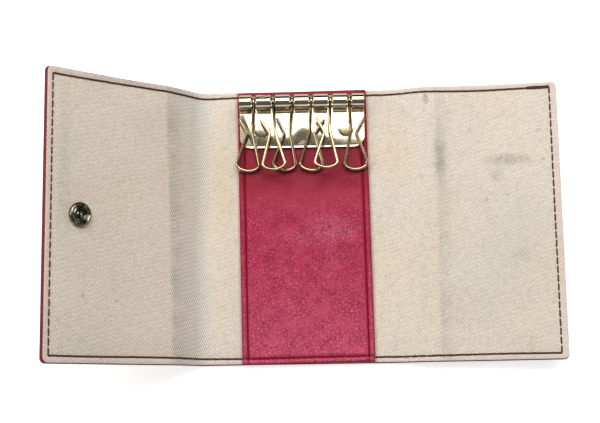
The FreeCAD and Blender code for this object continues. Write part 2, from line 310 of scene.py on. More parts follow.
# %% [markdown]
# ## Floor and light
# The case was photographed on white, under a broad soft light from above and a little from the
# head of the case. A floor with a white colour still renders grey wherever it is shaded, so the
# floor adds a part of its own white for the camera, and keeps the shadow. The sky is dim and the
# soft box bright, as in a room with one big window: polished metal needs something dark to mirror
# beside the light, or it looks like plastic.

# %% Floor
floor_reach, floor_gap = 12.0, 0.3 * MM
floor_level = cad_box[0].z - floor_gap
floor_mesh = bpy.data.meshes.new("floor")
floor_mesh.from_pydata([(x * floor_reach, y * floor_reach, floor_level)
                        for x, y in ((-1, -1), (1, -1), (1, 1), (-1, 1))], [], [(0, 1, 2, 3)])
floor = add_object("floor", floor_mesh)
floor_white, tree, shader = open_material("white_floor")
rays = add_node(tree, "ShaderNodeLightPath").outputs
seen = larger(rays["Is Camera Ray"], rays["Is Transmission Ray"])
fill(shader, {"Base Color": from_photo(236, 236, 236), "Roughness": 0.9,
              "Emission Color": (1, 1, 1, 1), "Emission Strength": times(seen, 0.7)})
floor_mesh.materials.append(floor_white)

# %% Sky and lamps
sky = bpy.data.worlds.new("studio_sky")
sky.use_nodes = True
scene.world = sky
tree = sky.node_tree
height = split(add_node(tree, "ShaderNodeTexCoord").outputs["Generated"])[2]
dim_room, dim_ceiling = (0.022, 0.021, 0.019, 1), (0.15, 0.145, 0.13, 1)
fill(tree.nodes["Background"], {"Color": blend_colours(ramp(height, 0.35, 0.97), dim_room, dim_ceiling),
                                "Strength": 1.0})


def soft_lamp(name, place_of, aim, width, length, watts):
    """A flat soft box that faces a point."""
    data = bpy.data.lights.new(name, "AREA")
    data.shape = "RECTANGLE"
    data.size, data.size_y, data.energy = width, length, watts
    lamp = add_object(name, data)
    lamp.location = place_of
    lamp.rotation_euler = (Vector(aim) - Vector(place_of)).to_track_quat("-Z", "Y").to_euler()


soft_lamp("head_soft_box", (0.02, 0.62, 0.90), (0, 0, 0), 1.4, 0.75, 13.8)
soft_lamp("left_soft_box", (-0.75, 0.10, 0.55), (0, 0, 0), 0.3, 0.6, 2.2)
soft_lamp("foot_card", (0.06, -0.80, 0.42), (0.02, 0, 0), 0.5, 0.45, 0.65)
soft_lamp("right_low_box", (0.95, 0.24, 0.20), (-0.09, 0, 0.04), 0.5, 0.15, 1.05)

# %% [markdown]
# ## Weave, grain, marks, scratches, soft patches and fold bands
# Each effect is a group, because more than one finish uses it, or one finish uses it many times. The
# twill's ribs are a cosine across slanting lines, with a second one along each rib for its single
# threads. Leather grain is a Voronoi pattern: its cells are the pebbles, the gaps between cells are
# the fine creases, and some pebble tops get a painted highlight. A thin line of noise here and there
# is a wrinkle. Marks are broad and soft, for handling and age. Scratches are noise drawn out in one
# direction. A soft patch is a patchy spot, for smudges, painted shade and painted sheen. A fold band
# has one sharp side and one that fades, for an old fold's wear and the painted shade in its crease.

# %% Twill weave group
weave, given, weave_out = open_group("twill_weave", {"Flat Place": None, "Rib Pitch": 0.86 * MM, "Slub": 0.3},
                                     ("Rib", "Yarn Shade", "Nub"))
rib_slant, yarn_slant, full_turn = math.radians(30.0), math.radians(14.0), 2 * math.pi
across_case, up_case, _ = split(given["Flat Place"])
slub = noise(given["Flat Place"], 420.0, 2.0)
across_ribs = plus(times(across_case, math.cos(rib_slant)), times(up_case, math.sin(rib_slant)))
along_ribs = minus(times(across_case, math.sin(yarn_slant)), times(up_case, math.cos(yarn_slant)))
rib_count = plus(over(across_ribs, given["Rib Pitch"]), times(slub, given["Slub"]))
yarn_count = times_plus(slub, 1.2, over(along_ribs, times(given["Rib Pitch"], 1.9)))
rib, yarn = (times_plus(cosine(times(count, full_turn)), 0.5, 0.5) for count in (rib_count, yarn_count))
fill(weave_out, {"Rib": times(rib, times_plus(yarn, 0.3, 0.7)), "Yarn Shade": slub,
                 "Nub": ramp(noise(given["Flat Place"], 1250.0, 1.0), 0.3, 0.7)})

# %% Leather grain group
grain, given, grain_out = open_group("leather_grain", {"Flat Place": None, "Pebble Size": 0.9 * MM},
                                     ("Height", "Valley", "Glint Tops"))


def cells(where, scale, feature="DISTANCE_TO_EDGE"):
    """A Voronoi pattern's outputs."""
    return add_node(grain, "ShaderNodeTexVoronoi", {"Vector": where, "Scale": scale}, feature=feature).outputs


skin_place = given["Flat Place"]
fineness = over(1.0, given["Pebble Size"])
bent = vector_sum("MULTIPLY_ADD", noise(skin_place, 420.0, 2.0, "Color"), (0.0017, 0.0017, 0.0017), skin_place)
wriggled = vector_sum("MULTIPLY_ADD", noise(skin_place, 1300.0, 1.0, "Color"), (0.0008, 0.0006, 0.0007), bent)
to_edge, to_middle = cells(bent, fineness)["Distance"], cells(bent, fineness, "F1")
net = cells(wriggled, times(fineness, 0.65))["Distance"]
wander, here_and_there = noise(bent, 430.0, 1.5), noise(skin_place, 190.0, 1.0)
fine_wrinkle = times(ramp(unsigned(minus(wander, 0.5)), 0.0, 0.03, 1.0, 0.0), ramp(here_and_there, 0.40, 0.58))
net_crease = times(ramp(net, 0.02, 0.16, 0.9, 0.0), ramp(here_and_there, 0.32, 0.6, 0.7, 1.0))
valley = larger(ramp(to_edge, 0.0, 0.22, 0.45, 0.0), larger(net_crease, times(fine_wrinkle, 0.6)))
lit_pebbles = add_node(grain, "ShaderNodeSeparateColor", {0: to_middle["Color"]}).outputs[0]
# The middles of some pebbles, where a painted highlight goes.
glint_tops = times(ramp(to_middle["Distance"], 0.1, 0.62, 1.0, 0.0), ramp(lit_pebbles, 0.1, 0.9))
fill(grain_out, {"Height": times_plus(valley, -0.8, wander), "Valley": valley, "Glint Tops": glint_tops})

# %% Handling marks group and fine scratches group
marks, given, marks_out = open_group("handling_marks", {"Place": None, "Mark Size": 0.02}, ("Cloud", "Spots"))
fineness = over(1.0, given["Mark Size"])
cloud = noise(given["Place"], fineness, 3.0, roughness=0.55)
speck = noise(given["Place"], times(fineness, 6.0), 2.0)
fill(marks_out, {"Cloud": ramp(cloud, 0.35, 0.68), "Spots": ramp(speck, 0.68, 0.78)})
scratch, given, scratch_out = open_group("fine_scratches", {"Place": None, "Stretch": (1, 12, 1)}, ("Lines",))
fill(scratch_out, {"Lines": noise(vector_sum("MULTIPLY", given["Place"], given["Stretch"]), 900.0, 3.0)})

# %% Soft patch group and fold band group
soft_patch, given, soft_patch_out = open_group(
    "soft_patch", {"Flat Place": None, "Centre": (0, 0, 0), "Half Size": (0.01, 0.01, 1)}, ("Mask",))
scaled = vector_sum("DIVIDE", vector_sum("SUBTRACT", given["Flat Place"], given["Centre"]), given["Half Size"])
away = add_node(soft_patch, "ShaderNodeVectorMath", {0: scaled}, operation="LENGTH").outputs["Value"]
patchy = ramp(noise(given["Flat Place"], 500.0, 3.0), 0.3, 0.7, 0.4, 1.0)
fill(soft_patch_out, {"Mask": times(ramp(away, 0.0, 1.5, 1.0, 0.0), patchy)})
# The fold band paints an old fold's wear together with the painted shade in its crease.
fold_wear_and_shade, given, fold_out = open_group(
    "fold_wear_and_shade", {"Flat Place": None, "Line": 0.0, "Slant": 0.0, "Towards Spine": 0.01, "Towards Flap": 0.003},
    ("Mask",))
across_case, up_case, _ = split(given["Flat Place"])
from_line = minus(across_case, times_plus(up_case, given["Slant"], given["Line"]))
spine_side = over(from_line, given["Towards Spine"])
flap_side = over(from_line, times(given["Towards Flap"], -1.0))
worn_here = ramp(noise(given["Flat Place"], 110.0, 3.0), 0.32, 0.66, 0.35, 1.0)
fill(fold_out, {"Mask": times(ramp(larger(spine_side, flap_side), 0.0, 1.0, 1.0, 0.0), worn_here)})
print("groups:", [group.name for group in bpy.data.node_groups])

# %% [markdown]
# ## The finishes
# Cream twill, crimson leather, two threads and four metals. Cloth and leather read the flat sizes
# from their own UV map, so the weave turns with a panel when it folds. The leather is smooth and a
# little waxed on the strip, and plainer outside. The hooks and the plate are pale gold plating, and
# the snap is darker. Each colour was set against the photograph.

# %% Twill finish: the clean cloth, its age, and painted shade on the left flap
def flat_place_in(tree):
    """The flat sizes s and y, from the sheet's own UV map."""
    return add_node(tree, "ShaderNodeUVMap", uv_map="flat").outputs[0]


def soft_patch_mask(where, s, y, half_s, half_y):
    """A soft patch's mask. It serves smudges, painted shade and painted sheen. Its middle and half size are in
    millimetres on the flat case.
    """
    return use_group(where.id_data, soft_patch, {"Flat Place": where, "Centre": (s * MM, y * MM, 0.0),
                                             "Half Size": (half_s * MM, half_y * MM, 1.0)})["Mask"]


strip_low, strip_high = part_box("hook_strip")
strip_seam, strip_turn = 2.3 * MM, math.radians(0.67)
lining_twill, tree, shader = open_material("cream_twill")
flat_place = flat_place_in(tree)
across_case, up_case, _ = split(flat_place)
twill = use_group(tree, weave, {"Flat Place": flat_place})
ageing = use_group(tree, marks, {"Place": flat_place, "Mark Size": 0.034})
elsewhere = vector_sum("ADD", flat_place, (0.31, 0.17, 0.0))
greying = use_group(tree, marks, {"Place": elsewhere, "Mark Size": 0.045})
rib = twill["Rib"]
between_ribs = minus(1.0, rib)
cloth = blend_colours(rib, from_photo(222, 208, 191), from_photo(255, 247, 236))
cloth = stain(twill["Nub"], cloth, (0.86, 0.855, 0.845))
# Painted shade: over the left flap the valleys between the ribs are darker, as under light that grazes the tilted
# cloth. It fades out at the crease.
grazing_shade_on_flap = ramp(across_case, left_crease - 8.0 * MM, left_crease, 1.0, 0.0)
cloth = stain(times(between_ribs, grazing_shade_on_flap), cloth, (0.89, 0.885, 0.875))
cloth = blend_colours(ramp(twill["Yarn Shade"], 0.4, 0.75, 0.0, 0.3), cloth, from_photo(196, 182, 164))
cloth = stain(times(ageing["Cloud"], 0.8), cloth, (0.995, 0.955, 0.905))
cloth = stain(times(greying["Cloud"], 0.8), cloth, (0.92, 0.93, 0.93))
cloth = blend_colours(times(ageing["Spots"], 0.18), cloth, from_photo(128, 108, 90))

# %% Twill finish: old folds with painted crease shade, painted light at the bend, smudges and painted edge shade
# Each old fold's band darkens the cloth a little all over and more between the ribs: wear together with painted crease
# shade.
for line, slant, to_spine, to_flap, all_over, in_valleys in (
        (left_crease - left_mark, -0.03, 11.0 * MM, 1.6 * MM, 0.1, 1.0),
        (right_crease + right_mark, 0.01, -2.0 * MM, -6.5 * MM, 0.45, 0.3)):
    mark = use_group(tree, fold_wear_and_shade, {"Flat Place": flat_place, "Line": line, "Slant": slant,
                                       "Towards Spine": to_spine, "Towards Flap": to_flap})["Mask"]
    cloth = stain(times(mark, all_over), cloth, (0.80, 0.80, 0.80))
    cloth = stain(times(mark, times(between_ribs, in_valleys)), cloth, (0.60, 0.615, 0.62))
# Painted light at the left bend: the valleys between the ribs are darker and the ribs paler, as under light that
# grazes the bent cloth.
from_bend = unsigned(minus(across_case, left_crease - 4.0 * MM))
grazing_light_at_bend = ramp(from_bend, 2.0 * MM, 9.0 * MM, 0.65, 0.0)
cloth = stain(times(between_ribs, grazing_light_at_bend), cloth, (0.62, 0.63, 0.62))
cloth = blend_colours(times(rib, grazing_light_at_bend), cloth, from_photo(255, 250, 242))
grime, warm, cool = (0.50, 0.49, 0.47), (1.0, 0.93, 0.83), (0.89, 0.92, 0.93)
dull, painted_edge_shade, pink = (0.76, 0.79, 0.77), (0.62, 0.64, 0.63), (1.0, 0.74, 0.70)
# The band along the head edge of the left flap is painted shade. The other entries are dirt and the cloth's own tints.
smudges_and_shade = {  # middle s and y, half size across and up, strength
    grime: ((49.4, 50.0, 1.3, 2.5, 1.0), (54.2, 26.0, 2.6, 11.0, 0.85), (81.0, 24.0, 9.5, 2.4, 0.8),
            (76.4, 17.5, 3.0, 2.6, 0.55), (94.9, 23.5, 0.7, 0.8, 0.95), (80.4, 10.0, 0.5, 0.6, 0.9),
            (84.4, -14.0, 3.0, 2.0, 0.35), (-94.9, -30.0, 0.8, 1.0, 0.9), (-77.9, 31.5, 0.6, 0.6, 0.6),
            (40.0, 45.0, 2.5, 4.0, 0.25), (29.0, 53.4, 2.4, 0.7, 0.6)),
    warm: ((-33.0, 8.0, 6.0, 42.0, 0.75), (36.0, 32.0, 8.0, 18.0, 0.8), (34.0, -20.0, 7.0, 20.0, 0.4)),
    cool: ((82.0, -8.0, 12.0, 14.0, 0.7), (70.0, -34.0, 18.0, 14.0, 0.45)),
    dull: ((-103.4, 18.0, 3.3, 34.0, 0.75),), painted_edge_shade: ((-78.0, 54.8, 38.0, 2.2, 1.0),),
    pink: ((-110.4, 0.0, 2.4, 90.0, 0.9),)}
for tint, spots in smudges_and_shade.items():
    for *spot, strength in spots:
        cloth = stain(times(soft_patch_mask(flat_place, *spot), strength), cloth, tint)

# %% Twill finish: its border, and the dye beside the strip
past_side = larger(minus(left_seam, across_case), minus(across_case, right_seam))
past_level = minus(unsigned(up_case), half_height - 2.5 * MM)
border = ramp(larger(past_side, past_level), -0.1 * MM, 0.6 * MM, 0.0, 0.2)
cloth = blend_colours(border, cloth, from_photo(234, 207, 212))
beside_strip = minus(unsigned(times_plus(up_case, math.sin(strip_turn), across_case)), strip_high.x)
cloth = blend_colours(ramp(beside_strip, 0.0, 1.5 * MM, 0.55, 0.0), cloth, from_photo(208, 128, 122))
fill(shader, {"Base Color": cloth, "Roughness": 0.88, "Specular IOR Level": 0.25, "Sheen Weight": 0.06,
              "Normal": bumped(rib, 0.55, 0.14 * MM)})
print("twill:", len(tree.nodes), "nodes,", sum(len(spots) for spots in smudges_and_shade.values()), "smudges_and_shade")


# %% Leather finishes
def crimson_leather(name, shades, deep, glint, pebble, roughness, grain_strength, smooth_above,
                    rim_dye_and_shade, rim_box, rim_width, rubbed_and_sheen=(), sewn=None):
    """Dyed leather in three shades down the case, dark in the creases of its grain, with a painted highlight on some
    pebble tops.
    """
    material, tree, shader = open_material(name)
    head, middle, foot, deep, glint, rim_dye_and_shade = (from_photo(*shade) for shade in (*shades, deep, glint, rim_dye_and_shade))
    flat_place = flat_place_in(tree)
    skin = use_group(tree, grain, {"Flat Place": flat_place, "Pebble Size": pebble})
    rub = use_group(tree, marks, {"Place": flat_place, "Mark Size": 0.012})
    across_case, up_case, _ = split(flat_place)
    # Three shades down the case. On the strip they are dye and also painted light: the dark head shade holds painted
    # shade under the hooks, and the pale foot shade holds painted sheen.
    colour = blend_colours(ramp(up_case, 0.0, 21.0 * MM), middle, head)
    colour = blend_colours(ramp(up_case, -8.0 * MM, -52.0 * MM), colour, foot)
    colour = stain(times(rub["Cloud"], 0.55), colour, (0.86, 0.72, 0.78))
    # Rubbed patches, paler and pinker: wear together with a painted sheen.
    for *patch, strength in rubbed_and_sheen:
        colour = blend_colours(times(soft_patch_mask(flat_place, *patch), strength), colour, from_photo(224, 116, 150))
    creased = ramp(up_case, smooth_above, smooth_above - 14.0 * MM, 0.12, 1.0)
    # Painted highlight on some pebble tops, in the glint colour. The creases of the grain are darker.
    colour = blend_colours(times(skin["Glint Tops"], times(creased, 0.55)), colour, glint)
    colour = blend_colours(times(skin["Valley"], times(creased, 0.85)), colour, deep)
    if sewn:
        # Darker in the strip seam's groove: dirt together with painted shade in the groove.
        from_side, from_foot = unsigned(minus(unsigned(across_case), sewn[0])), unsigned(minus(up_case, sewn[1]))
        groove_dirt_and_shade = ramp(smaller(from_side, from_foot), 0.2 * MM, 0.9 * MM, 0.6, 0.0)
        colour = blend_colours(groove_dirt_and_shade, colour, deep)
    # A darker rim: a dyed, burnished edge together with painted shade along the edge.
    left, right, low, high = rim_box
    to_side = smaller(minus(across_case, left), minus(right, across_case))
    to_level = smaller(minus(up_case, low), minus(high, up_case))
    colour = blend_colours(ramp(smaller(to_side, to_level), *rim_width, 0.8, 0.0), colour, rim_dye_and_shade)
    gloss = times_plus(rub["Cloud"], -0.06, times_plus(skin["Valley"], 0.2, roughness))
    relief = times(skin["Height"], times_plus(creased, 0.75, 0.25))
    fill(shader, {"Base Color": colour, "Roughness": gloss, "Specular IOR Level": 0.27,
                  "Normal": bumped(relief, grain_strength, 0.25 * MM)})
    return material


# The strip's head shade is dark partly as painted shade under the hooks, and its foot shade is pale partly as painted
# sheen. Its glint colour is a painted highlight.
strip_leather = crimson_leather(
    "strip_crimson_leather", [(144, 4, 35), (208, 58, 94), (228, 92, 126)], deep=(122, 8, 40), glint=(224, 110, 140),
    pebble=0.85 * MM, roughness=0.38, grain_strength=0.8, smooth_above=16.0 * MM, rim_dye_and_shade=(112, 14, 30),
    rim_box=(strip_low.x, strip_high.x, strip_low.y, strip_high.y), rim_width=(0.1 * MM, 0.75 * MM),
    rubbed_and_sheen=((10.0, -2.0, 9.0, 6.0, 0.75), (0.0, -4.5, 12.0, 4.0, 0.35), (10.0, -14.0, 4.0, 8.0, 0.35),
            (17.0, -3.5, 4.0, 3.5, 0.5)),
    sewn=(strip_high.x - strip_seam, strip_low.y + strip_seam))
everywhere_creased = 1.0
cover_leather = crimson_leather(
    "cover_crimson_leather", [(150, 24, 50)] * 3, deep=(104, 12, 34), glint=(178, 64, 90),
    pebble=0.8 * MM, roughness=0.42, grain_strength=0.4, smooth_above=everywhere_creased, rim_dye_and_shade=(112, 44, 48),
    rim_box=(left_edge, right_edge, -half_height, half_height), rim_width=(0.4 * MM, 1.6 * MM))


# %% Thread finishes
def sewing_thread(name, dark, light):
    """Waxed thread: two shades that follow its twist."""
    material, tree, shader = open_material(name)
    twist = noise(add_node(tree, "ShaderNodeTexCoord").outputs["Object"], 2600.0, 2.0)
    fill(shader, {"Base Color": blend_colours(twist, from_photo(*dark), from_photo(*light)), "Roughness": 0.75,
                  "Specular IOR Level": 0.06, "Normal": bumped(twist, 0.5, 0.1 * MM)})
    return material


brown_thread = sewing_thread("brown_thread", (64, 44, 38), (107, 77, 64))
crimson_thread = sewing_thread("crimson_thread", (108, 8, 32), (158, 20, 52))

# %% Metal finishes
plate_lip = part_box("hook_plate")[0].y


def pressed_crown(where):
    """The plate's face bows a little, so it mirrors the lamp above and the dim room near its lip. In metres."""
    x, y, _ = split(where)
    level = times_plus(noise(where, 130.0, 0.0), 4.0 * MM, plate_lip + 3.0 * MM)
    for distance, start, end, lift_at_start, lift_at_end in (
            (unsigned(x), 0.0, 5.0, 2.6, 0.0), (x, 6.0, 17.0, 0.0, -3.0), (x, -20.0, -24.5, 0.0, 9.0)):
        level = plus(level, ramp(distance, start * MM, end * MM, lift_at_start * MM, lift_at_end * MM))
    above = larger(minus(smaller(y, plate_lip + 14.3 * MM), level), -4.5 * MM)
    bowed = smaller(above, 3.4 * MM)
    fall = times(bowed, times_plus(bowed, -0.5, above))
    rolled_lip = ramp(y, plate_lip + 0.65 * MM, plate_lip, 0.0, 0.16 * MM)
    return times_plus(fall, -13.0, rolled_lip)


def plated_metal(name, bright, dull, roughness, stretch=(1, 1, 1), relief=0.05, crown=None):
    """Plating over pressed metal: fine scratches, and a duller bloom in places."""
    material, tree, shader = open_material(name)
    where = add_node(tree, "ShaderNodeTexCoord").outputs["Object"]
    lines = use_group(tree, scratch, {"Place": where, "Stretch": stretch})["Lines"]
    bloom = use_group(tree, marks, {"Place": where, "Mark Size": 0.008})
    shade = times_plus(bloom["Spots"], 0.4, times(bloom["Cloud"], 0.5))
    gloss = times_plus(bloom["Cloud"], 0.05, times_plus(lines, 0.1, roughness - 0.04))
    bowed = bumped(crown(where), 1.0, 1.0) if crown else None
    fill(shader, {"Base Color": blend_colours(shade, from_photo(*bright), from_photo(*dull)), "Roughness": gloss,
                  "Metallic": 1.0, "Normal": bumped(lines, relief, 0.02 * MM, over_normal=bowed)})
    return material


plate_metal = plated_metal("pale_gold_plate", (213, 203, 179), (195, 179, 146), 0.07, (1, 10, 1), 0.015, pressed_crown)
rivet_metal = plated_metal("pale_gold_rivets", (222, 208, 178), (200, 182, 142), 0.12)
hook_metal = plated_metal("pale_gold_wire", (198, 182, 148), (132, 112, 74), 0.11)
snap_metal = plated_metal("dark_nickel_snap", (128, 123, 110), (92, 86, 72), 0.1, relief=0.01)
print("finishes:", [material.name for material in bpy.data.materials if material.users == 0])

# %% [markdown]
# ## A soft sheet, laid out flat and folded
# Cover, lining and strip are all sheets with a thickness. A subdivided plane with a Solidify
# modifier would be quick, but its edge would be square and its folds would be hard to steer. Here a
# grid gives the upper face, a second grid the lower one, and a few rings between them round the
# edge like turned leather. Two soft creases can't bend in one mesh, because a piece bends across
# one hinge only, so each layer is cut in four: at the middle of the case, under the strip, and in
# the middle of each spine. The cut ends are flat and meet face to face.

# %% Make one closed soft sheet
def smooth_object(mesh, finish, sharp_above=None):
    """Puts a mesh in the scene with a finish, smooth apart from edges steeper than sharp_above degrees."""
    mesh.polygons.foreach_set("use_smooth", [True] * len(mesh.polygons))
    if sharp_above:
        mesh.set_sharp_from_angle(angle=math.radians(sharp_above))
    mesh.materials.clear()
    mesh.materials.append(finish)
    return add_object(mesh.name, mesh)


def stops_between(start, end, step):
    """Even values from start to end, about one step apart."""
    return np.linspace(start, end, max(2, math.ceil((end - start) / step) + 1))


def round_corners(s, y, free, radius):
    """Presses a square grid's free corners round. Also gives the outward direction at its edge."""
    out_s, out_y = np.zeros_like(s), np.zeros_like(y)
    out_s[0, :], out_s[-1, :] = -int("left" in free), int("right" in free)
    out_y[:, 0], out_y[:, -1] = -int("foot" in free), int("head" in free)
    s_new, y_new = s.copy(), y.copy()
    for side_s, edge_s, name_s in ((-1, s.min(), "left"), (1, s.max(), "right")):
        for side_y, edge_y, name_y in ((-1, y.min(), "foot"), (1, y.max(), "head")):
            if name_s not in free or name_y not in free or radius <= 0.0:
                continue
            a = (s - edge_s) * side_s / radius + 1.0
            b = (y - edge_y) * side_y / radius + 1.0
            inside = (a > 0.0) & (b > 0.0)
            bow_a = a * np.sqrt(np.clip(1.0 - b * b / 2.0, 0.0, 1.0))
            bow_b = b * np.sqrt(np.clip(1.0 - a * a / 2.0, 0.0, 1.0))
            s_new[inside] = (edge_s + side_s * radius * (bow_a - 1.0))[inside]
            y_new[inside] = (edge_y + side_y * radius * (bow_b - 1.0))[inside]
            out_s[inside], out_y[inside] = (side_s * bow_a)[inside], (side_y * bow_b)[inside]
    length = np.maximum(np.hypot(out_s, out_y), 1e-9)
    return s_new, y_new, out_s / length, out_y / length


def soft_sheet(name, span, rise, step, free, edge, radius, top, bottom, finish, settle=None):
    """A closed sheet over span (s) and rise (y). top and bottom give h at flat places."""
    inset = {side: (edge if side in free else 0.0) for side in ("left", "right", "foot", "head")}
    columns = stops_between(span[0] + inset["left"], span[1] - inset["right"], step)
    rows = stops_between(rise[0] + inset["foot"], rise[1] - inset["head"], step)
    s, y = np.meshgrid(columns, rows, indexing="ij")
    s, y, out_s, out_y = (part.ravel() for part in round_corners(s, y, free, radius - edge))
    high, low = top(s, y), bottom(s, y)
    number = np.arange(s.size).reshape(len(columns), len(rows))
    rim = np.concatenate([number[:-1, 0], number[-1, :-1], number[:0:-1, -1], number[0, :0:-1]])
    middle, half = (high[rim] + low[rim]) / 2, (high[rim] - low[rim]) / 2
    layers, rings, ring_steps = [(s, y, high), (s, y, low)], [rim], 6
    for k in range(1, ring_steps):
        angle = math.pi * k / ring_steps
        layers.append((s[rim] + out_s[rim] * edge * math.sin(angle), y[rim] + out_y[rim] * edge * math.sin(angle),
                       middle + half * math.cos(angle)))
        rings.append(2 * s.size + (k - 1) * len(rim) + np.arange(len(rim)))
    rings.append(rim + s.size)
    quads = np.stack([number[:-1, :-1], number[1:, :-1], number[1:, 1:], number[:-1, 1:]], -1).reshape(-1, 4)
    bands = [np.stack([upper, lower, np.roll(lower, -1), np.roll(upper, -1)], -1)
             for upper, lower in zip(rings, rings[1:])]
    faces = np.concatenate([quads, quads[:, ::-1] + s.size, *bands])
    flat_s, flat_y, heights = (np.concatenate(part) for part in zip(*layers))
    at_s, at_y = settle(flat_s, flat_y) if settle else (flat_s, flat_y)
    mesh = bpy.data.meshes.new(name)
    mesh.from_pydata(place(at_s, at_y, heights).tolist(), [], faces.tolist())
    flat_map = mesh.uv_layers.new(name="flat")
    corners = faces.ravel()
    flat_map.data.foreach_set("uv", np.stack([flat_s[corners], flat_y[corners]], -1).ravel().astype(np.float32))
    return smooth_object(mesh, finish, sharp_above=50.0)


# %% Where the layers are cut and how each part bends
middle = 0.0
left_cut = (left_crease + left_fold) / 2
right_cut = (right_crease + right_fold) / 2
flap_softness = 3.0 * MM
parts = {name: dict(span=span, free={"head", "foot", *edge}, bodies=bodies, panels=panels,
                    bend=(crease + soft, crease - soft))
         for name, span, edge, bodies, panels, crease, soft in (
             ("left_inner", (left_cut, middle), (), ("centre", "left_spine"), ("centre", "left_spine"),
              left_crease, left_softness),
             ("left_outer", (left_edge, left_cut), ("left",), ("left_spine", "left_flap"), ("left_flap",),
              left_fold, flap_softness),
             ("right_inner", (middle, right_cut), (), ("centre", "right_spine"), ("right_spine",),
              right_crease, -right_softness),
             ("right_outer", (right_cut, right_edge), ("right",), ("right_spine", "right_flap"), ("right_flap",),
              right_fold, -flap_softness))}


def bend_with(piece, part):
    """Bakes a piece's placement into its mesh. The two ends of its crease's bend are worked out but not used."""
    start, end = (Vector(place(s, 0.0, 0.0).tolist()) for s in parts[part]["bend"])
    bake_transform(piece)


def lay_sheets(layer, kinds, slot, limits, rise, **look):
    """Makes a layer's four sheets, in place of its panels' nodes. Returns each with its flat size."""
    made = {}
    for name, part in parts.items():
        span = (max(part["span"][0], limits[0]), min(part["span"][1], limits[1]))
        sheet = soft_sheet(layer + name, span, rise, free=part["free"], **look)
        bend_with(sheet, name)
        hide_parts(*[kind + panel for panel in part["panels"] for kind in kinds])
        made[name] = (sheet, (span[1] - span[0], rise[1] - rise[0]))
        print(sheet.name, len(sheet.data.polygons), "faces")
    return made


def level(h):
    """A face at one height."""
    return lambda s, y: np.full_like(s, h)


for name, part in parts.items():
    print(name, "is", round((part["span"][1] - part["span"][0]) / MM, 1), "mm wide, flat")

# %% [markdown]
# ## The leather cover
# The cover is one piece of crimson leather, turned in over thin board and glued. From inside only
# its turned edge shows, a thin red line round the lining, but from outside it is most of what is
# seen. A real cover is never quite flat: the board shows as a slightly raised field, and the edge
# is rounder than the middle. So the lower face sinks towards the edge seam and at the creases.

# %% Where the edge seam runs
def border_width(s, widths, waver, start):
    """The border outside a seam, in metres. It drifts and wavers, as hand-guided sewing does."""
    drift = np.interp(s, [left_edge, left_crease, 0.0, right_edge], widths)
    return (drift + 0.12 * np.sin(s / (waver * MM) + start)) * MM


def head_seam(s):
    """How high up the case the head seam runs."""
    return half_height - border_width(s, [2.8, 2.4, 2.2, 2.3], 9.0, 0.0)


def foot_seam(s):
    """How high up the case the foot seam runs."""
    return -half_height + border_width(s, [3.0, 2.7, 2.4, 2.6], 11.0, 1.0)


def inside_seam(s, y):
    """How far a flat place is inside the seam. It is negative on the border outside it."""
    return np.minimum(np.minimum(s - left_seam, right_seam - s), np.minimum(head_seam(s) - y, y - foot_seam(s)))


def bell(distance, width):
    """A bell curve, 1 in the middle."""
    return np.exp(-(distance / width) ** 2)


# %% Cover
def cover_bottom(s, y):
    """The outside: pulled in along the seam and at the creases, and rounded towards the case's edge."""
    creases = (left_crease, left_fold, right_crease, right_fold)
    dent = 0.22 * bell(inside_seam(s, y), 0.7 * MM) + 0.12 * sum(bell(s - crease, 1.4 * MM) for crease in creases)
    to_edge = np.minimum(np.minimum(s - left_edge, right_edge - s), half_height - np.abs(y))
    return -case_thick + (dent + 0.15 * np.exp(-to_edge / (1.2 * MM))) * MM


lay_sheets("cover_", ("cover_", "board_"), "cover_leather", (left_edge, right_edge), (-half_height, half_height),
           step=1.0 * MM, edge=0.6 * MM, radius=corner_radius, top=level(-lining_thick), bottom=cover_bottom,
           finish=cover_leather)

# %% [markdown]
# ## The twill lining
# The lining is one cloth, sewn to the cover round its edge and slack everywhere else. Years of
# folding have left a soft ridge at each crease, and the cloth never lies dead flat, which the
# slanting light shows. A cloth simulation could find such folds, but they would fall anywhere. Here
# they are sums of a few bell curves and waves, put where the photograph shows them.

# %% Lining
snap_low, snap_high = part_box("snap_socket_left")
snap_middle = (snap_low + snap_high) / 2
snap_s = left_crease - (Vector((snap_middle.x, 0.0, snap_middle.z)) - hinge["left_spine_fold"]).length
snap_y = snap_middle.y
strip_hold, snap_hold = 26.5 * MM, 4.5 * MM  # how far from their middles they hold the cloth down
lining_left, lining_right = left_edge + lining_inset["left"], right_edge - lining_inset["right"]
lining_rise = (-half_height + lining_inset["foot"], half_height - lining_inset["head"])


def slack_cloth(s, y):
    """How far the lining stands off the board, in metres."""
    up = y / half_height
    ridges = ((0.30, right_crease, 4.5, 1.0, 4.6), (0.16, right_crease, -3.5, 0.0, 3.0),
              (0.20, left_crease, -5.0, -1.5, 4.0))
    rise = sum(tall * bell(s - crease - (shift + lean * up) * MM, width * MM)
               for tall, crease, shift, lean, width in ridges)
    rise = rise + 0.14 * (1.0 + np.sin(s / (6.1 * MM) + 1.3 * np.sin(y / (17.0 * MM))))
    rise = rise + 0.12 * (1.0 + np.sin(y / (9.3 * MM) + 1.7 * np.sin(s / (13.0 * MM) + 0.6)))
    from_strip, from_snap = np.abs(s) - strip_hold, np.hypot(s - snap_s, y - snap_y) - snap_hold
    held = ease(inside_seam(s, y) / (8.0 * MM)) * ease(from_strip / (5.0 * MM)) * ease(from_snap / (5.0 * MM))
    return rise * held * MM


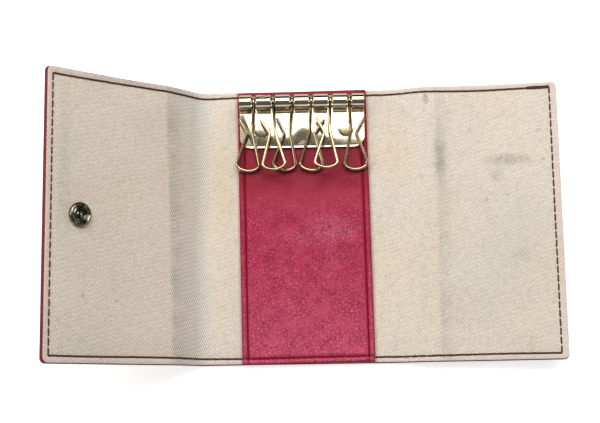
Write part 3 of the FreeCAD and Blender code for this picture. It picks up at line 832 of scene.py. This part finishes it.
def lining_top(s, y):
    """The lining's face: slack inside the seam, drawn in along it, puffed outside it."""
    from_seam = inside_seam(s, y)
    sewn_down, border = 0.16 * bell(from_seam, 0.6 * MM), 0.14 * bell(from_seam + 1.2 * MM, 0.7 * MM)
    to_side = np.minimum(s - lining_left, lining_right - s)
    to_edge = np.minimum(to_side, np.minimum(y - lining_rise[0], lining_rise[1] - y))
    turned_down = 0.16 * np.exp(-to_edge / (0.4 * MM))
    return slack_cloth(s, y) + (border - sewn_down - turned_down) * MM


linings = lay_sheets("lining_", ("lining_",), "lining_twill", (lining_left, lining_right), lining_rise,
                     step=0.8 * MM, edge=0.16 * MM, radius=corner_radius - lining_inset["head"], top=lining_top,
                     bottom=level(-lining_thick - 0.03 * MM), finish=lining_twill)

# %% [markdown]
# ## The leather strip
# The strip is sewn down over the lining along both sides and across its foot. Thread pulls the
# leather in along the seam, so the border outside it puffs up like a thin roll, and the field
# inside it wrinkles. The hook plate holds the head of the strip flat. It was sewn on a little
# crooked, so the finished sheet is turned by two thirds of a degree.

# %% Strip
strip_thick = strip_high.z - strip_low.z


def turn_strip(s, y):
    """Where a place on the strip lies on the case: it was sewn on a little crooked."""
    return (s * math.cos(strip_turn) - y * math.sin(strip_turn),
            s * math.sin(strip_turn) + y * math.cos(strip_turn))


def strip_sides(s, y):
    """How far a flat place is from the strip's nearer side, and from its foot."""
    return np.minimum(s - strip_low.x, strip_high.x - s), y - strip_low.y


def strip_relief(s, y):
    """The puffed border and the wrinkled field, pressed flat near the plate."""
    border = np.minimum(*strip_sides(s, y))
    puff = 0.28 * bell(border - 0.9 * MM, 0.8 * MM) + 0.2 * bell(border - 3.6 * MM, 1.3 * MM)
    wrinkle = 0.07 * np.sin(s / (1.9 * MM) + 2.2 * np.sin(y / (5.3 * MM)))
    wrinkle = wrinkle + 0.06 * np.sin(y / (2.3 * MM) + 1.8 * np.sin(s / (4.1 * MM) + 1.0))
    wrinkle = wrinkle + 0.08 * np.sin((s + 0.6 * y) / (6.7 * MM))
    pressed = 1.0 - ease((y - (plate_lip - 16.0 * MM)) / (12.0 * MM))
    return (puff + wrinkle * ease((border - 2.6 * MM) / (3.0 * MM))) * pressed * MM


def strip_top(s, y):
    """The strip's face: drawn in along its seam, and thinner at its edge."""
    side, foot = strip_sides(s, y)
    sewn_down = 0.5 * (bell(side - strip_seam, 0.6 * MM) + bell(foot - strip_seam, 0.6 * MM))
    thin_edge = 0.25 * np.exp(-np.minimum(side, foot) / (0.5 * MM))
    return strip_thick + strip_relief(s, y) - (sewn_down + thin_edge + 0.02) * MM


strip = soft_sheet("hook_strip_leather", (strip_low.x, strip_high.x), (strip_low.y, strip_high.y), step=0.5 * MM,
                   free={"left", "right", "head", "foot"}, edge=0.3 * MM, radius=0.7 * MM, top=strip_top,
                   bottom=level(-0.05 * MM), finish=strip_leather, settle=turn_strip)
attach(strip, "centre")
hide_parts("hook_strip")
print(strip.name, len(strip.data.polygons), "faces")

# %% [markdown]
# ## Stitches
# Hundreds of stitches follow a handful of seams, which is work for Geometry Nodes. Each seam is a
# bare line of edges that carries the direction out of the cloth. The tree turns it into a curve,
# sets a point at every stitch, and puts a short bowed thread on each point, with its ends dipping
# into the holes. A small turn, different for each stitch but always the same on every run, keeps
# the row from looking printed.

# %% Stitch tree
stitch_row = bpy.data.node_groups.new("row_of_stitches", "GeometryNodeTree")
for label, kind in (("Seam", "Geometry"), ("Pitch", "Float"), ("Length", "Float"), ("Thread", "Float"),
                    ("Dip", "Float"), ("Sway", "Float"), ("Seed", "Int"), ("Finish", "Material")):
    stitch_row.interface.new_socket(label, in_out="INPUT", socket_type="NodeSocket" + kind)
stitch_row.interface.new_socket("Stitches", in_out="OUTPUT", socket_type="NodeSocketGeometry")
given = stitch_row.nodes.new("NodeGroupInput").outputs


def sewn(kind, inputs=(), **settings):
    """One node of the stitch tree, as its first output."""
    return add_node(stitch_row, kind, inputs, **settings).outputs[0]


sunk = times(given["Dip"], -1.0)
hole_in, hole_out = (sewn("ShaderNodeCombineXYZ", {0: times(given["Length"], half), 2: sunk}) for half in (-0.5, 0.5))
crest = sewn("ShaderNodeCombineXYZ", {2: given["Dip"]})
bow = sewn("GeometryNodeCurveQuadraticBezier", {"Resolution": 5, "Start": hole_in, "Middle": crest, "End": hole_out})
round_thread = sewn("GeometryNodeCurvePrimitiveCircle", {"Resolution": 6, "Radius": times(given["Thread"], 0.5)})
stitch = sewn("GeometryNodeCurveToMesh", {"Curve": bow, "Profile Curve": round_thread, "Fill Caps": True})
line = sewn("GeometryNodeMeshToCurve", {"Mesh": given["Seam"]})
stitch_count = round_up(over(sewn("GeometryNodeSplineLength"), given["Pitch"]))
holes = sewn("GeometryNodeResampleCurve", {"Curve": line, "Count": plus(stitch_count, 1.0)}, mode="COUNT")
out_of_cloth = sewn("GeometryNodeInputNamedAttribute", {"Name": "out_of_cloth"}, data_type="FLOAT_VECTOR")
facing = sewn("FunctionNodeAxesToRotation", {0: out_of_cloth, 1: sewn("GeometryNodeInputTangent")},
              primary_axis="Z", secondary_axis="X")
chance = add_node(stitch_row, "FunctionNodeRandomValue", {2: times(given["Sway"], -1.0), 3: given["Sway"],
                                                          "Seed": given["Seed"]}, data_type="FLOAT").outputs[1]
sway = sewn("FunctionNodeAxisAngleToRotation", {"Axis": (0, 0, 1), "Angle": chance})
turned = sewn("FunctionNodeRotateRotation", {0: facing, 1: sway}, rotation_space="LOCAL")
row = sewn("GeometryNodeInstanceOnPoints", {"Points": holes, "Instance": stitch, "Rotation": turned})
row = sewn("GeometryNodeSetShadeSmooth", {0: sewn("GeometryNodeRealizeInstances", {0: row})})
row = sewn("GeometryNodeSetMaterial", {"Geometry": row, "Material": given["Finish"]})
add_node(stitch_row, "NodeGroupOutput", {0: row})
print("stitch tree:", len(stitch_row.nodes), "nodes")


# %% Sew along flat lines
stitch_sway = math.radians(3.0)  # the most that a stitch turns to either side
line_step = 0.5 * MM


def seam_line(start, end):
    """A straight flat line, with a point at every step."""
    return np.linspace(start, end, max(1, math.ceil(math.dist(start, end) / line_step)) + 1)


def sew(name, lines, height, outwards, finish, seed, stitch_sizes, settle=None):
    """Sews lines of flat places. height gives h of the surface there, outwards is 1 inside, -1 outside.
    stitch_sizes are the pitch, length, thickness and dip of its stitches, in millimetres."""
    s, y = np.concatenate(lines).T
    h = height(s, y)
    at_s, at_y = settle(s, y) if settle else (s, y)
    on_cloth = place(at_s, at_y, h)
    out_of_cloth = (place(at_s, at_y, h + MM) - on_cloth) / MM * outwards
    line_starts = set(np.cumsum([len(line) for line in lines]).tolist())
    edges = [(k - 1, k) for k in range(1, len(s)) if k not in line_starts]
    mesh = bpy.data.meshes.new(name + "_line")
    mesh.from_pydata(on_cloth.tolist(), edges, [])
    attribute = mesh.attributes.new("out_of_cloth", "FLOAT_VECTOR", "POINT")
    attribute.data.foreach_set("vector", out_of_cloth.ravel().astype(np.float32))
    guide = add_object(name + "_line", mesh)
    modifier = guide.modifiers.new("stitches", "NODES")
    modifier.node_group = stitch_row
    values = {"Sway": stitch_sway, "Seed": seed, "Finish": finish}
    values.update((label, size * MM) for label, size in zip(("Pitch", "Length", "Thread", "Dip"), stitch_sizes))
    for item in stitch_row.interface.items_tree:
        if item.in_out == "INPUT" and item.name in values:
            modifier[item.identifier] = values[item.name]
    made = bpy.data.meshes.new_from_object(guide.evaluated_get(bpy.context.evaluated_depsgraph_get()))
    bpy.data.objects.remove(guide)
    made.name = name
    print(name, len(made.polygons), "faces")
    return add_object(name, made)


# %% The seam round the lining, and the same seam outside
level_sizes, side_sizes = (3.3, 3.4, 0.73, 0.1), (3.5, 2.75, 0.66, 0.3)
outer_level_sizes, outer_side_sizes = (3.3, 2.6, 0.45, 0.25), (3.4, 2.6, 0.45, 0.25)
half_level_stitch, half_side_stitch = level_sizes[1] / 2 * MM, side_sizes[1] / 2 * MM
strip_side = strip_high.x + 0.5 * MM
left_corner, right_corner = left_seam + half_level_stitch, right_seam - half_level_stitch


def along(seam, start, end):
    """A stretch of the head seam or the foot seam, as flat places."""
    s = stops_between(start, end, line_step)
    return np.stack([s, seam(s)], -1)


def down_side(s):
    """A side seam, from just under the head seam to just above the foot seam."""
    return seam_line((s, float(head_seam(s)) - half_side_stitch), (s, float(foot_seam(s)) + half_side_stitch))


seam_spans = {"left_inner": (left_cut, -strip_side), "left_outer": (left_corner, left_cut),
              "right_inner": (strip_side, right_cut), "right_outer": (right_cut, right_corner)}
level_seams = {name: [along(seam, *span) for seam in (head_seam, foot_seam)] for name, span in seam_spans.items()}
back_tack_length = 7.0 * MM
back_tack = along(head_seam, right_seam - back_tack_length, right_corner)
back_tacks = {"right_outer": [back_tack + np.array([0.0, shift * MM]) for shift in (0.3, -0.25)]}
side_seams = {"left_outer": [down_side(left_seam)], "right_outer": [down_side(right_seam)]}


def on_lining(s, y):
    """Just above the lining, where its thread lies."""
    return lining_top(s, y) + 0.2 * MM


def on_cover(s, y):
    """Just outside the cover, where its thread lies."""
    return cover_bottom(s, y) - 0.1 * MM


inside_lines = {name: lines + back_tacks.get(name, []) for name, lines in level_seams.items()}
rows = (("lining_level_seam_", inside_lines, on_lining, 1, brown_thread, 10, level_sizes),
        ("cover_level_seam_", level_seams, on_cover, -1, crimson_thread, 20, outer_level_sizes),
        ("lining_side_seam_", side_seams, on_lining, 1, brown_thread, 30, side_sizes),
        ("cover_side_seam_", side_seams, on_cover, -1, crimson_thread, 40, outer_side_sizes))
lining_seams = {}
for number, name in enumerate(parts):
    sewn_rows = [sew(title + name, lines[name], surface, outwards, finish, first_seed + number, sizes)
                 for title, lines, surface, outwards, finish, first_seed, sizes in rows if name in lines]
    lining_seams[name], outside = sewn_rows[::2], sewn_rows[1::2]
    for piece in lining_seams[name] + outside:
        bend_with(piece, name)

# %% The strip's own seam
strip_side_seam = strip_high.x - strip_seam
strip_foot_seam = strip_low.y + strip_seam
strip_lines = [seam_line((side, plate_lip - 0.6 * MM), (side, strip_foot_seam))
               for side in (-strip_side_seam, strip_side_seam)]
strip_lines.append(seam_line((-strip_side_seam, strip_foot_seam), (strip_side_seam, strip_foot_seam)))
strip_seams = sew("hook_strip_seam", strip_lines, lambda s, y: strip_top(s, y) + 0.08 * MM, 1, crimson_thread, 51,
                  (2.8, 2.75, 0.72, 0.14), settle=turn_strip)
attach(strip_seams, "centre")

# %% [markdown]
# ## Metal
# The hook plate, hooks, pins and stud keep their modelled shape. A node from the model is loose
# triangles, which shade in facets, so each one is copied, its points are joined, and only its true
# corners stay sharp. A narrow bevel on the plate's and the stud's corners gives the thin bright line
# that pressed metal has along its edges.

# %% Metal pieces
import bmesh

body_of_node = {node: body for body, nodes in frame["record"]["behaviour"]["bodies"].items() for node in nodes}
corner_angle = 38.0


def stand_for(piece, node):
    """Puts a piece in a node's place: on the same body, with the node hidden."""
    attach(piece, body_of_node[node])
    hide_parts(node)


def polished_copy(node, finish, edge_width=0.0):
    """A joined copy of a metal node, smooth apart from its corners, with its edges broken."""
    joined = bmesh.new()
    joined.from_mesh(frame["nodes"][node].data)
    bmesh.ops.remove_doubles(joined, verts=joined.verts, dist=0.0005 * MM)
    bmesh.ops.dissolve_limit(joined, angle_limit=math.radians(0.4), verts=joined.verts, edges=joined.edges)
    mesh = bpy.data.meshes.new(node + "_polished")
    joined.to_mesh(mesh)
    joined.free()
    piece = smooth_object(mesh, finish, corner_angle)
    if edge_width:
        bevel = piece.modifiers.new("broken_edge", "BEVEL")
        bevel.width, bevel.segments, bevel.limit_method = edge_width, 2, "ANGLE"
        bevel.angle_limit = math.radians(corner_angle)
        piece.modifiers.new("flat_faces", "WEIGHTED_NORMAL").keep_sharp = True
    stand_for(piece, node)
    return piece


metal_pieces = [polished_copy("hook_plate", plate_metal, 0.08 * MM)]
for finish, slot, nodes in ((rivet_metal, "plate_metal", ("hook_rod", "rivet_washers")),
                            (hook_metal, "hook_wire", ["hook_%d" % number for number in range(1, 7)]),
                            (snap_metal, "snap_metal", ("snap_spring_left", "snap_eyelet_right"))):
    metal_pieces += [polished_copy(node, finish) for node in nodes]
metal_pieces.append(polished_copy("snap_stud_right", snap_metal, 0.12 * MM))
print("metal pieces:", len(metal_pieces), "faces:", sum(len(piece.data.polygons) for piece in metal_pieces))

# %% [markdown]
# ## The snap and the rivets
# The snap's socket is pressed from thin sheet: a flat foot, a rolled lip round the mouth, and in
# the mouth the rounded head of the post that comes through from the cap outside. The model has
# these as plain discs, and the plate's two rivets as low domes. A turned shape is made from half of
# its outline, so each is given here as a few points of radius and height, which are rounded off and
# swept round the post's axis.

# %% Turned snap pieces and rivets
def rounded_outline(points, rounds=2):
    """Cuts the corners of an outline, again and again, and keeps its two ends."""
    for _ in range(rounds):
        cut = [points[0]]
        for (r0, h0), (r1, h1) in zip(points, points[1:]):
            cut += [(near * r0 + (1 - near) * r1, near * h0 + (1 - near) * h1) for near in (0.75, 0.25)]
        points = cut + [points[-1]]
    return points


def turned_piece(node, centres, outline, finish, steps=56):
    """Sweeps an outline of (radius, height) in millimetres round upright axes, from pole to pole."""
    outline = rounded_outline(outline)
    angles = np.arange(steps) * 2 * math.pi / steps
    radius, height = np.array(outline[1:-1]).T * MM
    points, faces = [], []
    for s, y in centres:
        base = len(points)
        rings = place(s + radius[:, None] * np.cos(angles), y + radius[:, None] * np.sin(angles), height[:, None])
        poles = place(s, y, np.array([outline[0][1], outline[-1][1]]) * MM)
        points += rings.reshape(-1, 3).tolist() + poles.tolist()
        number = base + np.arange(len(radius) * steps).reshape(len(radius), steps)
        after = np.roll(number, -1, axis=1)
        low, high = base + number.size, base + number.size + 1
        faces += np.stack([number[:-1], after[:-1], after[1:], number[1:]], -1).reshape(-1, 4).tolist()
        faces += [(low, int(b), int(a)) for a, b in zip(number[0], after[0])]
        faces += [(high, int(a), int(b)) for a, b in zip(number[-1], after[-1])]
    mesh = bpy.data.meshes.new(node + "_turned")
    mesh.from_pydata(points, [], faces)
    piece = smooth_object(mesh, finish)
    stand_for(piece, node)
    print(piece.name, len(mesh.polygons), "faces")


socket_outline = [(0.0, 0.02), (4.3, 0.02), (4.56, 0.12), (4.56, 1.0), (4.48, 1.3), (4.28, 1.62), (4.02, 1.86),
                  (3.75, 1.94), (3.52, 1.86), (3.3, 1.64), (3.12, 1.5), (2.98, 1.55), (2.8, 1.74), (2.66, 1.8),
                  (2.54, 1.7), (2.48, 1.45), (2.48, 0.8), (2.35, 0.4), (1.9, 0.32), (0.0, 0.32)]
cap_outline = [(0.0, -3.5), (1.6, -3.42), (3.3, -3.05), (4.7, -2.45), (5.3, -2.1), (5.25, -1.95), (4.4, -1.95),
               (1.2, -1.95), (1.2, -0.8), (1.2, 0.3), (1.68, 0.3), (1.7, 0.35), (1.25, 0.35), (1.15, 0.37),
               (1.0, 0.46), (0.8, 0.56), (0.55, 0.62), (0.28, 0.65), (0.0, 0.66)]
turned_piece("snap_socket_left", [(snap_s, snap_y)], socket_outline, snap_metal)
turned_piece("snap_cap_left", [(snap_s, snap_y)], cap_outline, snap_metal)
rivet_low, rivet_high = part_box("plate_rivets")
rivet_radius = (rivet_high.y - rivet_low.y) / 2
rivet_centres = [(x, rivet_low.y + rivet_radius) for x in (rivet_low.x + rivet_radius, rivet_high.x - rivet_radius)]
shank_foot, rivet_top = ((level - inner_face) / MM for level in (rivet_low.z, rivet_high.z))
under_top = [(1.2, 0.9), (1.3, 0.62), (3.1, 0.62), (3.3, 0.55), (3.22, 0.2), (2.75, 0.03), (1.5, -0.02), (0.0, -0.04)]
rivet_outline = [(0.0, shank_foot), (1.2, shank_foot)] + [(radius, rivet_top - depth) for radius, depth in under_top]
turned_piece("plate_rivets", rivet_centres, rivet_outline, rivet_metal)
